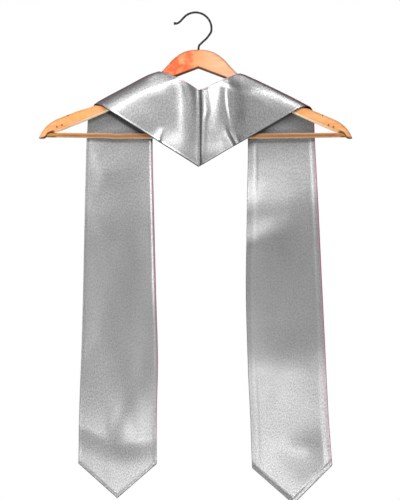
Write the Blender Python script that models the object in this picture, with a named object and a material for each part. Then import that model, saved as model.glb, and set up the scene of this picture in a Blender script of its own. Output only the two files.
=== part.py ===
"""Graduation stole in satin, hung on a wooden hanger.

Metres, +Z up. +X is the viewer's right and +Y points away from the viewer.
The origin is the inside of the hook, above the stem, where a rail carries it.
Sizes and tables are in millimetres. X in a table is the distance from the centre seam.

The two strips of the stole meet at the centre seam. From there each runs up in front
of its hanger arm, rolls back over the arm's top and hangs straight down behind it.
"""

import math
from collections import namedtuple

import bmesh
import bpy
from mathutils import Matrix, Vector

MM = 0.001
SIDES = {"left": -1, "right": 1}

# Fit between pieces
GAP = 0.3

# Edges that turn by more than this stay crisp
SHARP_DEGREES = 40.0

# Hanger arms: one row for each section, with the heights of its top and underside
ARM_HALF_THICKNESS = 6.0
ARM_CHAMFER = 2.4
ARM_CHAMFER_MOST_SHARE = 0.2
ARM_ARC_STEPS = 8
ARM_TIP_ROUND_FROM = 225.0
ARM_TIP_ROUND_LENGTH = 11.0
ArmRow = namedtuple("ArmRow", "x top under")
ARM_ROWS = [
    ArmRow(0.0, -54.3, -82.5),
    ArmRow(8.0, -54.6, -85.5),
    ArmRow(15.0, -55.8, -88.2),
    ArmRow(22.0, -58.0, -90.8),
    ArmRow(28.5, -61.3, -93.3),
    ArmRow(35.0, -66.2, -95.7),
    ArmRow(40.5, -71.1, -98.0),
    ArmRow(46.0, -77.4, -100.9),
    ArmRow(53.0, -85.0, -104.7),
    ArmRow(60.0, -91.2, -108.3),
    ArmRow(70.0, -96.4, -113.3),
    ArmRow(100.0, -111.2, -128.5),
    ArmRow(139.0, -130.4, -148.2),
    ArmRow(157.0, -139.0, -156.3),
    ArmRow(174.0, -146.3, -163.5),
    ArmRow(190.0, -153.0, -170.1),
    ArmRow(205.0, -158.9, -176.4),
    ArmRow(212.0, -162.0, -177.8),
    ArmRow(218.0, -165.6, -179.5),
    ArmRow(222.5, -168.9, -181.8),
    ArmRow(225.0, -171.3, -185.8),
    ArmRow(228.0, -174.8, -187.7),
    ArmRow(231.0, -179.0, -188.1),
    ArmRow(233.5, -183.4, -187.9),
    ArmRow(235.0, -186.0, -187.4),
]
# The two arms aren't quite equal: past this X each end is stretched or shortened
ARM_STRETCH_FROM = 140.0
ARM_END_SHIFT = {"left": 4.2, "right": -4.4}
# and its top stands a little higher there
ARM_RAISE_FROM = 158.0
ARM_RAISE = {"left": 2.3, "right": 0.6}

# Round bar, whose ends sit in blind bores near the arms' tips
BAR_RADIUS = 3.75
BAR_END_X = 228.0
BAR_END_Z = -182.0
BAR_SAG = 2.2
BAR_SIDES = 16
BAR_STEPS = 14

# Hook: a round wire with a blunt flared tip, an arc, an S-bend and a stem in the wood
WIRE_RADIUS = 1.6
WIRE_SIDES = 10
HOOK_CENTRE_X = -4.5
HOOK_CENTRE_Z = -22.4
HOOK_RADIUS = 24.0
HOOK_ARC_FROM = 124.0
HOOK_ARC_TO = -12.0
HOOK_ARC_STEPS = 7
HOOK_TIP = [(-37.2, -15.0), (-31.4, -14.6), (-27.0, -11.4), (-22.8, -6.9)]
HOOK_BEND = [(16.6, -31.4), (11.9, -37.6), (5.8, -43.2), (0.9, -48.4)]
STEM_TOP_Z = -53.0
STEM_END_Z = -74.0
GROOVE_ABOVE_STEM = 5.0
HOOK_SMOOTH_STEPS = 3

# Nail heads: X and Z on the arm, and how far the head's axis tips up from the front.
# One that tips up stands on the round top and leans outward with the arm's slope.
NAIL_RADIUS = 1.2
NAIL_HEIGHT = 0.6
NAIL_TOP_SHARE = 0.8
NAIL_SIDES = 12
NAIL_OUTWARD_SLOPE = 0.4
NailRow = namedtuple("NailRow", "x z tip_up")
NAIL_ROWS = {
    "left": [
        NailRow(193.2, -153.7, 48.0),
        NailRow(201.5, -167.8, 0.0),
        NailRow(208.8, -170.6, 0.0),
    ],
    "right": [
        NailRow(188.0, -153.2, 48.0),
        NailRow(197.1, -167.8, 0.0),
        NailRow(204.7, -170.6, 0.0),
    ],
}

# Cloth
WALL = 1.4
CLOTH_HALF_DEPTH = 7.2
SEAM_TOP_Z = -116.3
SEAM_POINT_Z = -231.0

# Lines across each strip, from the neck edge to the outer edge. The sheet leaves the
# front plane at the front line, passes over the crest and reaches the back plane.
Line = namedtuple("Line", "neck_x neck_z outer_x outer_z")
FRONT_LINE = {
    "left": Line(50.7, -89.5, 145.2, -139.5),
    "right": Line(53.4, -92.6, 152.5, -141.8),
}
BACK_LINE = {
    "left": Line(66.0, -98.0, 166.0, -150.0),
    "right": Line(69.0, -100.0, 174.0, -151.5),
}
CrestRow = namedtuple("CrestRow", "across x z")
CREST = {
    "left": [
        CrestRow(0.0, 58.8, -87.2),
        CrestRow(0.17, 75.8, -93.0),
        CrestRow(0.5, 106.0, -108.9),
        CrestRow(0.9, 147.0, -130.8),
        CrestRow(1.0, 156.5, -137.2),
    ],
    "right": [
        CrestRow(0.0, 62.3, -90.4),
        CrestRow(0.1, 71.5, -93.4),
        CrestRow(0.5, 113.0, -112.6),
        CrestRow(0.85, 150.0, -131.0),
        CrestRow(1.0, 165.0, -139.2),
    ],
}
NECK_BOW = {"left": 2.2, "right": -0.9}
NECK_BOW_POWER = 3
# Behind the crest the roll's outer end stands open by this much
ROLL_BULGE = {"left": 0.0, "right": 3.0}
ROLL_BULGE_POWER = 8

# Edges of the hanging panels below the back line
EdgeRow = namedtuple("EdgeRow", "z x")
NECK_SIDE_EDGE = {
    "left": [
        EdgeRow(-98.0, 66.0),
        EdgeRow(-190.0, 69.0),
        EdgeRow(-295.0, 66.8),
        EdgeRow(-415.0, 63.8),
        EdgeRow(-520.0, 60.9),
        EdgeRow(-595.0, 62.4),
        EdgeRow(-677.1, 62.9),
    ],
    "right": [
        EdgeRow(-100.0, 69.0),
        EdgeRow(-190.0, 74.3),
        EdgeRow(-280.0, 72.8),
        EdgeRow(-415.0, 70.9),
        EdgeRow(-535.0, 74.3),
        EdgeRow(-595.0, 77.3),
        EdgeRow(-683.3, 80.7),
    ],
}
OUTER_EDGE = {
    "left": [
        EdgeRow(-150.0, 166.0),
        EdgeRow(-190.0, 168.6),
        EdgeRow(-325.0, 171.8),
        EdgeRow(-460.0, 174.8),
        EdgeRow(-595.0, 179.2),
        EdgeRow(-676.5, 181.2),
    ],
    "right": [
        EdgeRow(-151.5, 174.0),
        EdgeRow(-190.0, 175.5),
        EdgeRow(-280.0, 179.9),
        EdgeRow(-460.0, 188.3),
        EdgeRow(-595.0, 195.2),
        EdgeRow(-679.0, 201.6),
    ],
}
Tip = namedtuple("Tip", "x z")
PANEL_TIP = {"left": Tip(122.6, -729.2), "right": Tip(143.3, -738.3)}

# Where the strip is divided behind the arm, as a share of the panel's length
CUT_SHARE = 0.0145

# Largest folds: each runs from one place to another, with its half width and how far
# it stands forward of the sheet. A negative height is a trough.
Fold = namedtuple("Fold", "x_from z_from x_to z_to half_width height")
FRONT_FOLDS = {
    "left": [
        Fold(42.0, -92.0, 26.0, -140.0, 9.0, 3.4),
        Fold(26.0, -140.0, 36.0, -206.0, 9.0, 3.6),
        Fold(11.0, -118.0, 12.0, -214.0, 8.0, -1.8),
        Fold(72.0, -122.0, 128.0, -148.0, 17.0, -1.6),
        Fold(60.0, -150.0, 58.0, -192.0, 14.0, 1.4),
    ],
    "right": [
        Fold(22.0, -106.0, 26.0, -212.0, 9.0, 4.2),
        Fold(38.0, -104.0, 41.0, -188.0, 6.0, -1.9),
        Fold(43.0, -106.0, 57.0, -194.0, 4.5, 2.6),
        Fold(90.0, -128.0, 120.0, -150.0, 18.0, -1.8),
        Fold(7.0, -120.0, 9.0, -212.0, 4.5, 1.5),
    ],
}
PANEL_FOLDS = {
    "left": [
        Fold(150.0, -185.0, 166.0, -330.0, 16.0, 2.2),
        Fold(92.0, -190.0, 84.0, -420.0, 20.0, -1.8),
        Fold(128.0, -330.0, 140.0, -560.0, 22.0, 1.8),
        Fold(74.0, -470.0, 78.0, -640.0, 14.0, 2.0),
        Fold(122.0, -655.0, 118.0, -690.0, 34.0, 2.4),
    ],
    "right": [
        Fold(86.0, -195.0, 87.0, -270.0, 7.0, 2.4),
        Fold(134.0, -325.0, 96.0, -352.0, 12.0, -1.8),
        Fold(108.0, -230.0, 104.0, -320.0, 18.0, 2.2),
        Fold(165.0, -300.0, 172.0, -560.0, 20.0, -1.8),
        Fold(108.0, -540.0, 110.0, -680.0, 17.0, 2.8),
        Fold(158.0, -650.0, 162.0, -690.0, 12.0, -2.0),
    ],
}
FOLD_END_SHARE = 0.22
SEAM_FLAT_WIDTH = 7.0
PANEL_FLAT_DROP = 24.0
ROLL_FLAT_FROM = 0.67

# Divisions of the cloth
ACROSS_STEPS = 20
FRONT_STEPS = 24
FRONT_STEP_POWER = 1.25
ROLL_STEPS = 4
BACK_STEPS = 2
PANEL_ACROSS_STEPS = 14
PANEL_STEPS = 36

# Colours, each with its roughness and metallic value
Finish = namedtuple("Finish", "colour roughness metallic")
FINISHES = {
    "satin": Finish((0.42, 0.42, 0.43), 0.38, 0.0),
    "wood_left": Finish((0.80, 0.36, 0.12), 0.45, 0.0),
    "wood_right": Finish((0.86, 0.48, 0.20), 0.45, 0.0),
    "wood_bar": Finish((0.68, 0.38, 0.13), 0.5, 0.0),
    "wire": Finish((0.015, 0.015, 0.016), 0.3, 1.0),
    "nail": Finish((0.05, 0.035, 0.02), 0.5, 0.6),
}


def clear_scene():
    for item in list(bpy.data.objects):
        bpy.data.objects.remove(item, do_unlink=True)


def mix(a, b, share):
    return a + (b - a) * share


def smooth_step(value):
    value = min(max(value, 0.0), 1.0)
    return value * value * (3.0 - 2.0 * value)


def table_value(keys, values, at):
    """Cubic curve through a table whose keys only rise or only fall."""
    if keys[0] > keys[-1]:
        keys = [-key for key in keys]
        at = -at
    at = min(max(at, keys[0]), keys[-1])
    slopes = []
    for i in range(len(keys)):
        low = max(i - 1, 0)
        high = min(i + 1, len(keys) - 1)
        slopes.append((values[high] - values[low]) / (keys[high] - keys[low]))
    i = 0
    while i < len(keys) - 2 and at > keys[i + 1]:
        i += 1
    span = keys[i + 1] - keys[i]
    t = (at - keys[i]) / span
    return (
        (2 * t**3 - 3 * t**2 + 1) * values[i]
        + (t**3 - 2 * t**2 + t) * span * slopes[i]
        + (3 * t**2 - 2 * t**3) * values[i + 1]
        + (t**3 - t**2) * span * slopes[i + 1]
    )


def make_material(name):
    finish = FINISHES[name]
    material = bpy.data.materials.new(name)
    material.use_nodes = True
    shader = material.node_tree.nodes["Principled BSDF"]
    shader.inputs["Base Color"].default_value = (*finish.colour, 1.0)
    shader.inputs["Roughness"].default_value = finish.roughness
    shader.inputs["Metallic"].default_value = finish.metallic
    return material


def add_object(name, shape, finish):
    """An object from a bmesh in millimetres."""
    bmesh.ops.scale(shape, vec=(MM, MM, MM), verts=shape.verts)
    mesh = bpy.data.meshes.new(name)
    shape.to_mesh(mesh)
    shape.free()
    mesh.shade_smooth()
    mesh.set_sharp_from_angle(angle=math.radians(SHARP_DEGREES))
    item = bpy.data.objects.new(name, mesh)
    bpy.context.scene.collection.objects.link(item)
    if finish:
        mesh.materials.append(make_material(finish))
    return item


def join_rings(rings):
    """A closed shape through rings that have the same number of points."""
    shape = bmesh.new()
    loops = [[shape.verts.new(point) for point in ring] for ring in rings]
    count = len(loops[0])
    for first, second in zip(loops, loops[1:]):
        for i in range(count):
            after = (i + 1) % count
            shape.faces.new((first[i], first[after], second[after], second[i]))
    shape.faces.new(loops[0])
    shape.faces.new(loops[-1])
    bmesh.ops.recalc_face_normals(shape, faces=shape.faces)
    return shape


def tube(route, radius, sides):
    """A round bar along a route in the plane Y = 0."""
    rings = []
    for i, point in enumerate(route):
        before = route[max(i - 1, 0)]
        after = route[min(i + 1, len(route) - 1)]
        along = (after - before).normalized()
        side = Vector((0.0, 1.0, 0.0))
        up = along.cross(side)
        rings.append([])
        for step in range(sides):
            angle = 2.0 * math.pi * step / sides
            offset = side * math.cos(angle) + up * math.sin(angle)
            rings[-1].append(point + offset * radius)
    return join_rings(rings)


def cut_with(item, cutter):
    cutter.hide_render = True
    cutter.display_type = "WIRE"
    cut = item.modifiers.new("cut_" + cutter.name, "BOOLEAN")
    cut.operation = "DIFFERENCE"
    cut.object = cutter


def arm_x(side, x):
    """Signed X of a place on an arm, with that arm's own length."""
    past = max(x - ARM_STRETCH_FROM, 0.0) / (ARM_ROWS[-1].x - ARM_STRETCH_FROM)
    return SIDES[side] * (x + ARM_END_SHIFT[side] * past)


def arm_raise(side, x):
    """How much higher than its table one arm's top stands towards its end."""
    share = max(x - ARM_RAISE_FROM, 0.0) / (ARM_ROWS[-1].x - ARM_RAISE_FROM)
    return ARM_RAISE[side] * smooth_step(3.0 * share) * (1.0 - share**6)


def arm_slope(index):
    low = ARM_ROWS[max(index - 1, 0)]
    high = ARM_ROWS[min(index + 1, len(ARM_ROWS) - 1)]
    return (high.top - low.top) / (high.x - low.x)


def arm_ring(side, index):
    """One section of an arm: a round top, upright sides and chamfered lower edges."""
    row = ARM_ROWS[index]
    top = row.top + arm_raise(side, row.x)
    height = top - row.under
    tip_share = max(row.x - ARM_TIP_ROUND_FROM, 0.0) / ARM_TIP_ROUND_LENGTH
    half = ARM_HALF_THICKNESS * math.sqrt(1.0 - tip_share**2)
    rise = min(half * math.hypot(1.0, arm_slope(index)), 0.5 * height)
    chamfer = min(ARM_CHAMFER, ARM_CHAMFER_MOST_SHARE * height, 0.5 * half)
    x = SIDES[side] * GAP / 2 if index == 0 else arm_x(side, row.x)
    ring = [(x, chamfer - half, row.under), (x, -half, row.under + chamfer)]
    for step in range(ARM_ARC_STEPS + 1):
        angle = math.pi * step / ARM_ARC_STEPS
        z = top - rise + rise * math.sin(angle)
        ring.append((x, -half * math.cos(angle), z))
    ring.append((x, half, row.under + chamfer))
    ring.append((x, half - chamfer, row.under))
    return ring


def bar_route(spare):
    """The bar's centre line, with a small sag, ending past each bore by spare."""
    start = arm_x("left", BAR_END_X) - spare
    end = arm_x("right", BAR_END_X) + spare
    route = []
    for step in range(BAR_STEPS + 1):
        share = step / BAR_STEPS
        z = BAR_END_Z - BAR_SAG * 4.0 * share * (1.0 - share)
        route.append(Vector((mix(start, end, share), 0.0, z)))
    return route


def hook_route():
    """The wire's centre line, from the flared tip round the arc and down the stem."""
    points = [Vector((x, 0.0, z)) for x, z in HOOK_TIP]
    for step in range(HOOK_ARC_STEPS + 1):
        angle = math.radians(mix(HOOK_ARC_FROM, HOOK_ARC_TO, step / HOOK_ARC_STEPS))
        x = HOOK_CENTRE_X + HOOK_RADIUS * math.cos(angle)
        z = HOOK_CENTRE_Z + HOOK_RADIUS * math.sin(angle)
        points.append(Vector((x, 0.0, z)))
    points += [Vector((x, 0.0, z)) for x, z in HOOK_BEND]
    points.append(Vector((0.0, 0.0, STEM_TOP_Z)))
    keys = [0.0]
    for first, second in zip(points, points[1:]):
        keys.append(keys[-1] + (second - first).length)
    route = []
    for start, end in zip(keys, keys[1:]):
        for step in range(HOOK_SMOOTH_STEPS):
            at = mix(start, end, step / HOOK_SMOOTH_STEPS)
            x = table_value(keys, [point.x for point in points], at)
            z = table_value(keys, [point.z for point in points], at)
            route.append(Vector((x, 0.0, z)))
    route.append(points[-1])
    route.append(Vector((0.0, 0.0, STEM_END_Z)))
    return route


def make_hanger():
    bar = tube(bar_route(0.0), BAR_RADIUS, BAR_SIDES)
    add_object("bar", bar, "wood_bar")
    add_object("hook", tube(hook_route(), WIRE_RADIUS, WIRE_SIDES), "wire")
    bore = add_object("bore_cutter", tube(bar_route(GAP), BAR_RADIUS + GAP, BAR_SIDES), None)
    stem = [Vector((0.0, 0.0, z)) for z in (STEM_TOP_Z + GROOVE_ABOVE_STEM, STEM_END_Z - GAP)]
    groove = add_object("groove_cutter", tube(stem, WIRE_RADIUS + GAP, WIRE_SIDES), None)
    for side in SIDES:
        rings = [arm_ring(side, index) for index in range(len(ARM_ROWS))]
        arm = add_object("arm_" + side, join_rings(rings), "wood_" + side)
        cut_with(arm, bore)
        cut_with(arm, groove)
        for number, row in enumerate(NAIL_ROWS[side], start=1):
            make_nail(f"nail_{side}_{number}", side, row)


def make_nail(name, side, row):
    """A flat round head that stands on the arm's front face or on its round top."""
    shape = bmesh.new()
    bmesh.ops.create_cone(
        shape,
        cap_ends=True,
        segments=NAIL_SIDES,
        radius1=NAIL_RADIUS,
        radius2=NAIL_TOP_SHARE * NAIL_RADIUS,
        depth=NAIL_HEIGHT,
    )
    tip_up = math.radians(row.tip_up)
    outward = SIDES[side] * NAIL_OUTWARD_SLOPE * math.sin(tip_up)
    axis = Vector((outward, -math.cos(tip_up), math.sin(tip_up))).normalized()
    foot = Vector((arm_x(side, row.x), -ARM_HALF_THICKNESS * math.cos(tip_up), row.z))
    turn = axis.to_track_quat("Z", "Y").to_matrix().to_4x4()
    place = Matrix.Translation(foot + axis * (GAP + NAIL_HEIGHT / 2))
    bmesh.ops.transform(shape, matrix=place @ turn, verts=shape.verts)
    add_object(name, shape, "nail")


def fold_lift(folds, x, z):
    """How far the folds push the sheet forward at a place on it."""
    lift = 0.0
    for fold in folds:
        run_x = fold.x_to - fold.x_from
        run_z = fold.z_to - fold.z_from
        length = math.hypot(run_x, run_z)
        along = ((x - fold.x_from) * run_x + (z - fold.z_from) * run_z) / length**2
        aside = ((x - fold.x_from) * run_z - (z - fold.z_from) * run_x) / length
        ends = smooth_step((along + FOLD_END_SHARE) / (2.0 * FOLD_END_SHARE))
        ends *= smooth_step((1.0 + FOLD_END_SHARE - along) / (2.0 * FOLD_END_SHARE))
        lift += fold.height * ends * math.exp(-((aside / fold.half_width) ** 2))
    return lift


def crest_point(side, across):
    rows = CREST[side]
    keys = [row.across for row in rows]
    x = table_value(keys, [row.x for row in rows], across)
    z = table_value(keys, [row.z for row in rows], across)
    return x, z


def line_point(line, across):
    x = mix(line.neck_x, line.outer_x, across)
    z = mix(line.neck_z, line.outer_z, across)
    return x, z


def front_point(side, across, along):
    """The flat front stretch, from the centre seam to the front line."""
    end_x, end_z = line_point(FRONT_LINE[side], across)
    x = mix(0.0, end_x, along)
    z = mix(mix(SEAM_TOP_Z, SEAM_POINT_Z, across), end_z, along)
    z += NECK_BOW[side] * math.sin(math.pi * along) * (1.0 - across) ** NECK_BOW_POWER
    lift = fold_lift(FRONT_FOLDS[side], x, z)
    lift *= smooth_step(x / SEAM_FLAT_WIDTH)
    lift *= 1.0 - smooth_step((along - ROLL_FLAT_FROM) / (1.0 - ROLL_FLAT_FROM))
    return x, -CLOTH_HALF_DEPTH - lift, z


def roll_point(side, across, along):
    """The roll over the arm: the front line at 0, the crest at 1, the back line at 2."""
    line = FRONT_LINE[side] if along < 1.0 else BACK_LINE[side]
    foot_x, foot_z = line_point(line, across)
    top_x, top_z = crest_point(side, across)
    angle = math.pi * along / 2.0
    rise = math.sin(angle)
    x = mix(foot_x, top_x, rise)
    z = mix(foot_z, top_z, rise)
    open_share = across**ROLL_BULGE_POWER * math.sin(math.pi * max(along - 1.0, 0.0))
    x += ROLL_BULGE[side] * open_share
    return x, -CLOTH_HALF_DEPTH * math.cos(angle), z


def panel_end_z(side, across, tip_across):
    """The pointed end, with two straight edges that meet at the tip."""
    tip = PANEL_TIP[side]
    if across < tip_across:
        return mix(NECK_SIDE_EDGE[side][-1].z, tip.z, across / tip_across)
    return mix(tip.z, OUTER_EDGE[side][-1].z, (across - tip_across) / (1.0 - tip_across))


def edge_x(rows, z):
    return table_value([row.z for row in rows], [row.x for row in rows], z)


def tip_share(side):
    neck_x = NECK_SIDE_EDGE[side][-1].x
    outer_x = OUTER_EDGE[side][-1].x
    return (PANEL_TIP[side].x - neck_x) / (outer_x - neck_x)


def panel_point(side, across, along):
    """The hanging panel, from the back line to the pointed end."""
    line = BACK_LINE[side]
    neck_z = mix(line.neck_z, NECK_SIDE_EDGE[side][-1].z, along)
    outer_z = mix(line.outer_z, OUTER_EDGE[side][-1].z, along)
    neck_x = edge_x(NECK_SIDE_EDGE[side], neck_z)
    outer_x = edge_x(OUTER_EDGE[side], outer_z)
    x = mix(neck_x, outer_x, across)
    top_z = mix(line.neck_z, line.outer_z, across)
    z = mix(top_z, panel_end_z(side, across, tip_share(side)), along)
    lift = fold_lift(PANEL_FOLDS[side], x, z)
    lift *= smooth_step((top_z - z - PANEL_FLAT_DROP) / PANEL_FLAT_DROP)
    return x, CLOTH_HALF_DEPTH - lift, z


def sheet_object(name, side, rows):
    """A cloth wall on a grid of points, thickened equally to both faces."""
    shape = bmesh.new()
    grid = []
    for row in rows:
        grid.append([shape.verts.new((SIDES[side] * x, y, z)) for x, y, z in row])
    for first, second in zip(grid, grid[1:]):
        for i in range(len(first) - 1):
            shape.faces.new((first[i], first[i + 1], second[i + 1], second[i]))
    bmesh.ops.recalc_face_normals(shape, faces=shape.faces)
    item = add_object(name, shape, "satin")
    wall = item.modifiers.new("wall", "SOLIDIFY")
    wall.thickness = WALL * MM
    wall.offset = 0.0
    wall.use_even_offset = True


def cut_place(side, sign):
    """The share of the panel's length at which one piece ends, half a gap from the cut."""
    length = BACK_LINE[side].neck_z - NECK_SIDE_EDGE[side][-1].z
    return CUT_SHARE + sign * GAP / 2 / length


def make_front(side):
    across = [i / ACROSS_STEPS for i in range(ACROSS_STEPS + 1)]
    rows = []
    for step in range(FRONT_STEPS):
        along = (step / FRONT_STEPS) ** FRONT_STEP_POWER
        row = [front_point(side, share, along) for share in across]
        if step == 0:
            row = [(GAP / 2, y, z) for x, y, z in row]
        rows.append(row)
    for step in range(2 * ROLL_STEPS):
        along = step / ROLL_STEPS
        rows.append([roll_point(side, share, along) for share in across])
    for step in range(BACK_STEPS + 1):
        along = cut_place(side, -1) * step / BACK_STEPS
        rows.append([panel_point(side, share, along) for share in across])
    sheet_object("front_" + side, side, rows)


def make_panel(side):
    half = PANEL_ACROSS_STEPS // 2
    tip = tip_share(side)
    across = [mix(0.0, tip, i / half) for i in range(half)]
    across += [mix(tip, 1.0, i / half) for i in range(half + 1)]
    start = cut_place(side, 1)
    rows = []
    for step in range(PANEL_STEPS + 1):
        along = mix(start, 1.0, step / PANEL_STEPS)
        rows.append([panel_point(side, share, along) for share in across])
    sheet_object("panel_" + side, side, rows)


def main():
    clear_scene()
    make_hanger()
    for side in SIDES:
        make_front(side)
        make_panel(side)


main()
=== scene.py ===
"""Looks of the graduation stole on its wooden hanger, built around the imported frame.

Metres, +Z up, the frame's own axes. Tables are in millimetres, like the solids they
follow. In those of the stole and the arms, X is the distance from the centre seam.
"""

import math
from collections import namedtuple

import bpy
import numpy as np
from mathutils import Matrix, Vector, noise


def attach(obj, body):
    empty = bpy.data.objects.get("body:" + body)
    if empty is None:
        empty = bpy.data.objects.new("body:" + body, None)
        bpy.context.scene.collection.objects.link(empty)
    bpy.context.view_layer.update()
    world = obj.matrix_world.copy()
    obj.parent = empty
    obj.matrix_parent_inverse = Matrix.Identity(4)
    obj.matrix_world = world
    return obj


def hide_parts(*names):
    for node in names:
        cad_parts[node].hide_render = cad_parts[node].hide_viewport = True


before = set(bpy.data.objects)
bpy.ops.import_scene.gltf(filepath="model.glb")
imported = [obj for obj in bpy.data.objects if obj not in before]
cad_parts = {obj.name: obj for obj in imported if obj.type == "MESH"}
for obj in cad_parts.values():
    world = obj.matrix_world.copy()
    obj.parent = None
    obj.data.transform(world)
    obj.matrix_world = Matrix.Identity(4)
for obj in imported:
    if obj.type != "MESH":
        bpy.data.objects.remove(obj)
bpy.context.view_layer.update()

MM = 0.001
SIDES = {"left": -1, "right": 1}

# Photograph's framing: millimetres a pixel at the hanger, and the origin's pixel
MM_A_PIXEL = 1.5
SEAM_PIXEL_X = 198.5
ORIGIN_PIXEL_Y = 13.5
IMAGE_WIDTH = 400
IMAGE_HEIGHT = 500
LENS = 110.0
SENSOR = 36.0

# Hanger arms: sections, with the heights of the top and the underside
ARM_HALF_THICKNESS = 6.0
ARM_CHAMFER = 2.4
ARM_CHAMFER_MOST_SHARE = 0.2
ARM_ARC_STEPS = 14
ARM_STEP = 2.5
ARM_TIP_ROUND_FROM = 225.0
ARM_TIP_ROUND_LENGTH = 11.0
ARM_STRETCH_FROM = 140.0
ARM_END_SHIFT = {"left": 4.2, "right": -4.4}
ARM_RAISE_FROM = 158.0
ARM_RAISE = {"left": 2.3, "right": 0.6}
ARM_RAISE_STEEPNESS = 3.0
ARM_RAISE_END_POWER = 6
ARM_SMOOTH_DEGREES = 35
ARM_JOINT_HALF_GAP = 0.005
ARM_LINE_RISE = 0.9
ARM_LINE_FADE = 2.2
CROWN_END_X = 66.0
CROWN_FADE = 30.0
BAR_SEAT_X = 211.0
BAR_SEAT_FADE = 4.0
ArmRow = namedtuple("ArmRow", "x top under")
ARM_ROWS = [
    ArmRow(0.0, -54.3, -82.5),
    ArmRow(8.0, -54.6, -85.5),
    ArmRow(15.0, -55.8, -88.2),
    ArmRow(22.0, -58.0, -90.8),
    ArmRow(28.5, -61.3, -93.3),
    ArmRow(35.0, -66.2, -95.7),
    ArmRow(40.5, -71.1, -98.0),
    ArmRow(46.0, -77.4, -100.9),
    ArmRow(53.0, -85.0, -104.7),
    ArmRow(60.0, -91.2, -108.3),
    ArmRow(70.0, -96.4, -113.3),
    ArmRow(100.0, -111.2, -128.5),
    ArmRow(139.0, -130.4, -148.2),
    ArmRow(157.0, -139.0, -156.3),
    ArmRow(174.0, -146.3, -163.5),
    ArmRow(190.0, -153.0, -170.1),
    ArmRow(205.0, -158.9, -176.4),
    ArmRow(212.0, -162.0, -177.8),
    ArmRow(218.0, -165.6, -179.5),
    ArmRow(222.5, -168.9, -181.8),
    ArmRow(225.0, -171.3, -185.8),
    ArmRow(228.0, -174.8, -187.7),
    ArmRow(231.0, -179.0, -188.1),
    ArmRow(233.5, -183.4, -187.9),
    ArmRow(235.0, -186.0, -187.4),
]

# Round bar between the arms
BAR_RADIUS = 3.75
BAR_END_X = 228.0
BAR_END_Z = -182.0
BAR_SAG = 2.2
BAR_STEP = 4.0
BAR_SIDES = 32
BAR_KINK_X = -123.0
BAR_KINK_WIDTH = 9.0
BAR_KINK_DROP = 0.7
ROUND_SMOOTH_DEGREES = 50

# Wire hook
WIRE_RADIUS = 1.6
HOOK_CENTRE_X = -4.5
HOOK_CENTRE_Z = -22.4
HOOK_RADIUS = 24.0
HOOK_ARC_FROM = 124.0
HOOK_ARC_TO = -12.0
HOOK_ARC_STEPS = 7
HOOK_TIP = [(-37.2, -15.0), (-31.4, -14.6), (-27.0, -11.4), (-22.8, -6.9)]
HOOK_BEND = [(16.6, -31.4), (11.9, -37.6), (5.8, -43.2), (0.9, -48.4)]
STEM_TOP_Z = -53.0
STEM_END_Z = -74.0
HOOK_STEP = 0.8
HOOK_SIDES = 20
WIRE_TIP_LENGTH = 7.0
WIRE_TIP_SPREAD = 0.3

# Stole: lines across each strip, from the neck edge to the outer edge
CLOTH_HALF_DEPTH = 7.2
SEAM_TOP_Z = -116.3
SEAM_POINT_Z = -231.0
Line = namedtuple("Line", "neck_x neck_z outer_x outer_z")
FRONT_LINE = {
    "left": Line(50.7, -89.5, 145.2, -139.5),
    "right": Line(53.4, -92.6, 152.5, -141.8),
}
BACK_LINE = {
    "left": Line(66.0, -98.0, 166.0, -150.0),
    "right": Line(69.0, -100.0, 174.0, -151.5),
}
CREST = {
    "left": [
        (0.0, 58.8, -87.2),
        (0.17, 75.8, -93.0),
        (0.5, 106.0, -108.9),
        (0.9, 147.0, -130.8),
        (1.0, 156.5, -137.2),
    ],
    "right": [
        (0.0, 62.3, -90.4),
        (0.1, 71.5, -93.4),
        (0.5, 113.0, -112.6),
        (0.85, 150.0, -131.0),
        (1.0, 165.0, -139.2),
    ],
}
NECK_BOW = {"left": 2.2, "right": -0.9}
NECK_BOW_POWER = 3
ROLL_BULGE = {"left": 0.0, "right": 3.0}
ROLL_BULGE_POWER = 8

# How the front leaves the crest: drops below the crest line, with the sheet's depth.
# The left half rolls softly over its arm, and the right one is creased closer to it.
SHOULDER = {
    "left": [
        (0.0, 0.0),
        (1.2, -2.9),
        (3.0, -4.9),
        (6.0, -7.3),
        (9.0, -9.3),
        (12.6, -11.1),
        (18.0, -13.0),
        (24.0, -14.7),
        (33.0, -15.6),
        (45.0, -15.6),
        (90.0, -14.2),
        (200.0, -11.0),
    ],
    "right": [
        (0.0, 0.0),
        (0.8, -3.6),
        (1.6, -5.2),
        (3.0, -7.0),
        (5.0, -8.5),
        (8.0, -9.4),
        (12.0, -10.1),
        (16.0, -10.3),
        (20.0, -10.3),
        (30.0, -9.6),
        (40.0, -8.5),
        (60.0, -5.8),
        (110.0, -2.2),
        (200.0, -1.4),
    ],
}
CREST_SLOPE_NEAR_NECK = 0.42

# Both halves are sewn together, so they come to one depth at the seam
SEAM_DEPTH = -11.2
SEAM_DEPTH_REACH = {"left": 26.0, "right": 34.0}

# How far the front's flat leans forward at each distance from the seam
FRONT_LEAN = {
    "left": [(0.0, 0.0), (60.0, 0.0), (100.0, 0.4), (150.0, 0.0)],
    "right": [
        (0.0, 5.6),
        (44.0, 5.8),
        (58.0, 6.4),
        (70.0, 5.9),
        (90.0, 3.8),
        (110.0, 1.9),
        (130.0, 0.6),
        (150.0, 0.0),
    ],
}
LEAN_FADE_DROP = 30.0

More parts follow.
